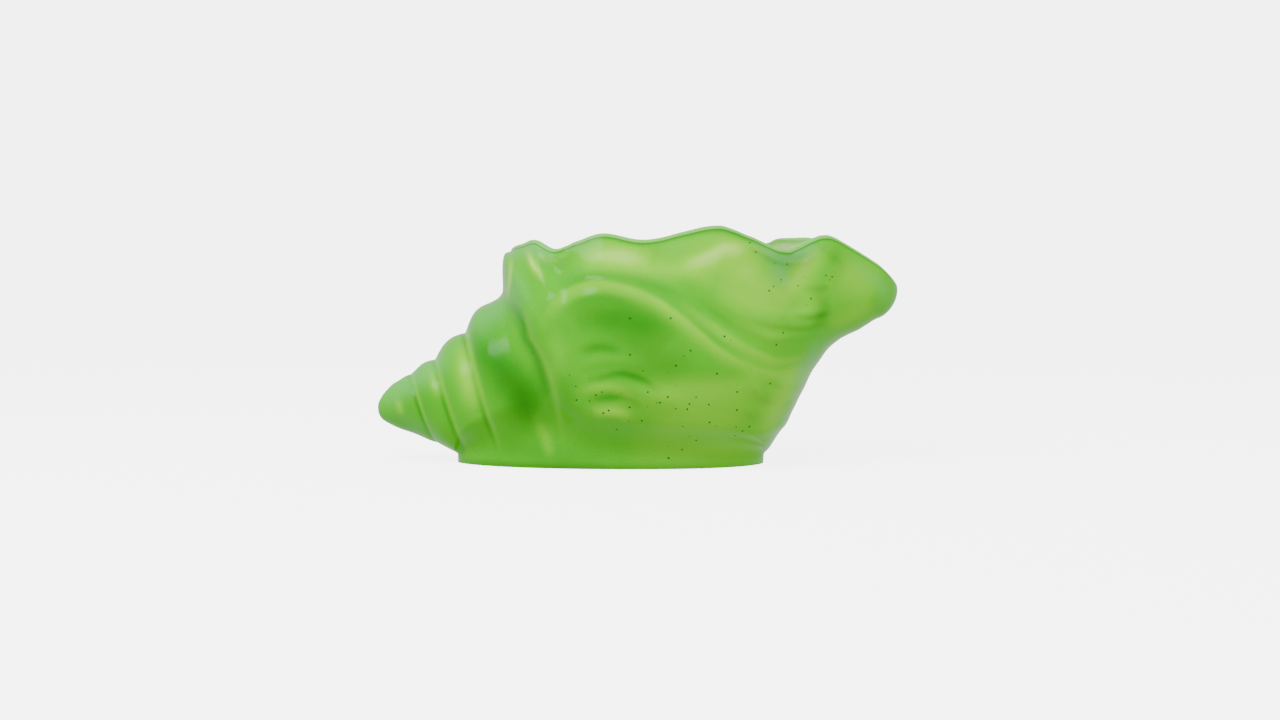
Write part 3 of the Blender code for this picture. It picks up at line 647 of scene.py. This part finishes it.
def add_sheet(mesh, points, tones):
    """A grid whose vertices are moved to the points, row by row, and carry the tones."""
    rows, columns = points.shape[0] - 1, points.shape[1] - 1
    layers = {name: mesh.verts.layers.float[name] for name in tones}
    made = bmesh.ops.create_grid(mesh, x_segments=columns, y_segments=rows, size=0.5)["verts"]
    for vertex in made:
        row = round((vertex.co.y + 0.5) * rows)
        column = round((vertex.co.x + 0.5) * columns)
        vertex.co = (points[row, column] + CENTRING) * MM
        for name, layer in layers.items():
            vertex[layer] = tones[name][row, column]


def streaks(x, z, lines):
    """How strongly the streaks tint each point, from 0 up."""
    tint = np.zeros_like(x)
    for points, above, below, strength in lines:
        gap, fade = distance_to_line(x, z, points)
        tint = tint + strength * fade * np.exp(-((gap / np.where(gap > 0, above, below)) ** 2))
    return tint


def seam_tint(points, side, place, reach, strength):
    """A line that follows the spire's seams, at a place past them that is a share of a turn."""
    x, y, z = np.moveaxis(points, -1, 0)
    height = z - axis_height(x)
    station = x + LEAN * lean_share(x) * height
    angle = np.arctan2(np.abs(y), height)
    fraction = np.where(side == NEAR, angle / (2 * np.pi), 1 - angle / (2 * np.pi))
    phase = turns(station) - fraction
    past = phase - np.round(phase) - place
    kept = ease(*SEAM_START, phase) * (1 - ease(*SEAM_END, station)) * ease(*SEAM_FEET, z)
    return strength * kept * np.exp(-((past / reach) ** 2))


def pinhole_share(x, z):
    """How full of pinholes the glaze is."""
    share = np.zeros_like(x)
    for middle_x, middle_z, reach, most in PINHOLES:
        share = share + most * np.exp(-((x - middle_x) ** 2 + (z - middle_z) ** 2) / reach ** 2)
    return share


def outer_tones(points, side):
    """The outer wall's tones. The back's move along with its folds."""
    x, _, z = np.moveaxis(points, -1, 0)
    shift = (side == FAR) * ease(*FAR_TONE_START, x) * (1 - ease(*FAR_FOLD_JOIN, x))
    x_line = x - FAR_FOLD_SHIFT[0] * shift
    z_line = z - FAR_FOLD_SHIFT[1] * shift
    thin_and_painted_light = streaks(x_line, z_line, THIN_AND_HIGHLIGHT_STREAKS) + seam_tint(points, side, *SEAM_THIN)
    deep = streaks(x_line, z_line, POOLS_AND_SHADE) + seam_tint(points, side, *SEAM_POOL)
    cool = streaks(x_line, z_line, COOL_STREAKS)
    return {"thin_and_painted_light": thin_and_painted_light, "deep": deep, "cool": cool, "pits": pinhole_share(x_line, z_line)}


def inner_tones(points):
    """The inner wall's tones: a cooler green low down, and painted light towards the rim."""
    pale = ease(*INNER_PALE, points[..., 2])
    plain = np.zeros(points.shape[:2])
    return {"thin_and_painted_light": FLOOR_THIN + INNER_PAINTED_LIGHT * pale, "deep": plain, "cool": INNER_COOL * (1 - pale),
            "pits": plain}


def edge_tones(outer, inner, count):
    """The rim's tones: a dark line outside, then pale. Both walls' first points share them."""
    plain = np.zeros((count, RIM_COLUMNS + 1))
    pale = plain + ease(*RIM_PALE, np.arange(RIM_COLUMNS + 1))
    rim = {"thin_and_painted_light": RIM_THIN * pale, "deep": RIM_LINE * (1 - pale), "cool": RIM_COOL * pale, "pits": plain}
    for name in rim:
        outer[name][-count:, 0] = rim[name][:, 0]
        inner[name][-count:, 0] = rim[name][:, -1]
    outer["thin_and_painted_light"][-count:, 1] *= RIM_LINE_FADE
    return rim


def make_skin():
    """The bowl's skin: the outer wall, the inner wall and the rim's round, sewn into one closed mesh."""
    first, last = foot_ends()
    closed = np.linspace(TIP, OPENING, SPIRE_ROWS + 1)[:-1]
    closed = np.sort(np.append(closed, (first, first + FOOT_RUN)))
    mouth = np.sort(np.append(spread(OPENING, SPOUT, MOUTH_ROWS), (last - FOOT_RUN, last)))
    hollow = spread(CAVITY, OPENING + RIM_WALL, HOLLOW_ROWS)[:-1]
    mesh = bmesh.new()
    for name in ("thin_and_painted_light", "deep", "cool", "pits"):
        mesh.verts.layers.float.new(name)
    for side in (NEAR, FAR):
        outer = side_of_outer(np.concatenate((closed, mouth)), side)
        inner = side_of_inner(hollow, mouth, side)
        rim = rim_round(outer[-len(mouth):, 0], inner[-len(mouth):, 0])
        outside, inside = outer_tones(outer, side), inner_tones(inner)
        edge = edge_tones(outside, inside, len(mouth))
        add_sheet(mesh, outer, outside)
        add_sheet(mesh, inner, inside)
        add_sheet(mesh, rim, edge)
    bmesh.ops.remove_doubles(mesh, verts=mesh.verts, dist=MERGE * MM)
    bmesh.ops.recalc_face_normals(mesh, faces=mesh.faces)
    data = bpy.data.meshes.new("glazed_skin")
    mesh.to_mesh(data)
    mesh.free()
    data.shade_smooth()
    skin = bpy.data.objects.new("glazed_skin", data)
    bpy.context.scene.collection.objects.link(skin)
    return skin


class Value:
    """A number or a colour that varies over the surface. Expressions on numbers add Math nodes."""

    def __init__(self, shop, socket):
        self.shop = shop
        self.socket = socket

    def reckon(self, operation, *numbers):
        return self.shop.node("ShaderNodeMath", {"operation": operation}, dict(enumerate(numbers)))

    def __add__(self, other):
        return self.reckon("ADD", self, other)

    def __mul__(self, other):
        return self.reckon("MULTIPLY", self, other)

    __radd__ = __add__
    __rmul__ = __mul__

    def __sub__(self, other):
        return self.reckon("SUBTRACT", self, other)

    def __rsub__(self, other):
        return self.reckon("SUBTRACT", other, self)

    def __lt__(self, other):
        return self.reckon("LESS_THAN", self, other)

    def held(self):
        """The number kept between 0 and 1."""
        return self.shop.node("ShaderNodeClamp", {}, {"Value": self})


class Shop:
    """A node tree, and the one way that nodes are made in it."""

    def __init__(self, tree):
        self.tree = tree

    def feed(self, socket, value):
        if isinstance(value, Value):
            self.tree.links.new(value.socket, socket)
        else:
            socket.default_value = value

    def node(self, kind, settings, sockets, out=0):
        """A node with its settings, then its sockets' values. Sockets go by name or by number."""
        made = self.tree.nodes.new(kind)
        for name, setting in settings.items():
            setattr(made, name, setting)
        for socket, value in sockets.items():
            self.feed(made.inputs[socket], value)
        return Value(self, made.outputs[out])

    def mix(self, share, first, second):
        """A colour between two others. A Mix node takes colours at 6 and 7 and gives one at 2."""
        return self.node("ShaderNodeMix", {"data_type": "RGBA"}, {0: share, 6: first, 7: second}, out=2)

    def tone(self, name):
        """One of the tones that the skin carries."""
        return self.node("ShaderNodeAttribute", {"attribute_name": name}, {}, out="Fac")


def make_finish(name, **constants):
    """A Principled material with its constants set, its shader, and the shop for the rest of it."""
    material = bpy.data.materials.new(name)
    material.use_nodes = True
    shader = material.node_tree.nodes["Principled BSDF"]
    for socket, value in constants.items():
        shader.inputs[socket.replace("_", " ")].default_value = value
    return material, shader, Shop(material.node_tree)


def pinholes(shop, place):
    """Dark pinholes: a spot in the middle of some of a cell pattern's cells."""
    cells = {"Vector": place, "Scale": PINHOLE_CELLS}
    gap = shop.node("ShaderNodeTexVoronoi", {}, cells, out="Distance")
    colour = shop.node("ShaderNodeTexVoronoi", {}, cells, out="Color")
    drawn = shop.node("ShaderNodeSeparateColor", {}, {"Color": colour}, out="Red")
    chosen = 1 - PINHOLE_CHANCE * shop.tone("pits") < drawn
    return ((PINHOLE_REACH - gap) * PINHOLE_EDGE).held() * chosen


def make_glaze():
    """Glossy green glaze, coloured by the tones that the skin carries."""
    material, shader, shop = make_finish("apple_green_glaze", Roughness=0.16, IOR=1.4,
                                         Specular_IOR_Level=0.17)
    place = shop.node("ShaderNodeTexCoord", {}, {}, out="Object")
    noise = shop.node("ShaderNodeTexNoise", {}, {"Vector": place, "Scale": CLOUD_SCALE,
                                                 "Detail": CLOUD_DETAIL, "Roughness": CLOUD_ROUGHNESS})
    cloud = CLOUD_STRENGTH * (noise - CLOUD_MIDDLE)
    thin_and_painted_light = shop.tone("thin_and_painted_light") + cloud
    deep = shop.tone("deep") + cloud
    cool = shop.tone("cool") * COOL_STRENGTH
    # Pooled glaze, painted shade and a painted dark reflection deepen the green.
    green = shop.mix(deep.held(), MID_GREEN, DEEP_GREEN)
    # Thin glaze, painted highlights and painted light make the green paler, then cream.
    green = shop.mix(thin_and_painted_light.held(), green, THIN_AND_HIGHLIGHT_GREEN)
    green = shop.mix((thin_and_painted_light - 1).held(), green, PALE_GREEN)
    green = shop.mix((thin_and_painted_light - 2).held(), green, PAINTED_LIGHT_CREAM)
    green = shop.mix(cool.held(), green, COOL_GREEN)
    green = shop.mix((deep - 1).held(), green, BOTTLE_GREEN)
    green = shop.mix(pinholes(shop, place), green, BOTTLE_GREEN)
    shop.feed(shader.inputs["Base Color"], green)
    return material


def make_softbox(name, place, size, power, mirrored):
    """A rectangular lamp that faces the bowl. The glaze shows its reflection if it is mirrored."""
    lamp = bpy.data.lights.new(name, "AREA")
    lamp.shape = "RECTANGLE"
    lamp.size, lamp.size_y = size
    lamp.energy = power
    box = bpy.data.objects.new(name, lamp)
    box.location = place
    box.rotation_euler = (Vector(LAMP_TARGET) - Vector(place)).to_track_quat("-Z", "Y").to_euler()
    box.visible_glossy = mirrored
    bpy.context.scene.collection.objects.link(box)


def make_backdrop():
    """One pale sheet: a floor that sweeps up behind."""
    mesh = bmesh.new()
    bmesh.ops.create_grid(mesh, x_segments=2, y_segments=BACKDROP_ROWS, size=1.0)
    for vertex in mesh.verts:
        run = (vertex.co.y + 1) / 2 * BACKDROP_RUN
        turn = min(max(run - BACKDROP_FLAT, 0) / BACKDROP_BEND, np.pi / 2)
        rise = max(run - BACKDROP_FLAT - BACKDROP_BEND * np.pi / 2, 0)
        vertex.co = Vector((vertex.co.x * BACKDROP_HALF_WIDTH,
                            BACKDROP_FRONT + min(run, BACKDROP_FLAT) + BACKDROP_BEND * np.sin(turn),
                            BACKDROP_BEND * (1 - np.cos(turn)) + rise))
    data = bpy.data.meshes.new("backdrop")
    mesh.to_mesh(data)
    mesh.free()
    data.shade_smooth()
    backdrop = bpy.data.objects.new("backdrop", data)
    bpy.context.scene.collection.objects.link(backdrop)
    paper, _, _ = make_finish("pale_paper", Base_Color=BACKDROP_WHITE, Roughness=1.0,
                              Specular_IOR_Level=0.0, Emission_Color=WHITE,
                              Emission_Strength=BACKDROP_GLOW)
    backdrop.data.materials.append(paper)
    backdrop.visible_diffuse = False
    backdrop.visible_glossy = False


def make_studio():
    """An even sky, two lamps and the backdrop."""
    world = bpy.data.worlds.new("studio")
    world.use_nodes = True
    shop = Shop(world.node_tree)
    toward = shop.node("ShaderNodeTexCoord", {}, {}, out="Generated")
    up = shop.node("ShaderNodeSeparateXYZ", {}, {"Vector": toward}, out="Z")
    background = world.node_tree.nodes["Background"]
    shop.feed(background.inputs["Color"], WHITE)
    shop.feed(background.inputs["Strength"], SKY + up * SKY_RISE)
    bpy.context.scene.world = world
    # The overhead lamp isn't mirrored: its reflection is painted into the glaze as pale lobes under the
    # rim.
    make_softbox("overhead", place=(0.0, -0.75, 1.05), size=(2.4, 0.5), power=13.0, mirrored=False)
    make_softbox("window", place=(-0.6, -0.6, 0.9), size=(0.5, 0.5), power=8.0, mirrored=True)
    make_backdrop()


def make_camera():
    lens = bpy.data.cameras.new("camera")
    lens.sensor_width = SENSOR
    lens.lens = LENS
    lens.clip_start = NEAREST
    camera = bpy.data.objects.new("camera", lens)
    camera.location = CAMERA
    camera.rotation_euler = (np.radians(90 - CAMERA_PITCH), 0, 0)
    bpy.context.scene.collection.objects.link(camera)
    bpy.context.scene.camera = camera


make_camera()
skin = make_skin()
skin.data.materials.append(make_glaze())
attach(skin, "root")
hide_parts("whelk_shell_bowl")
make_studio()
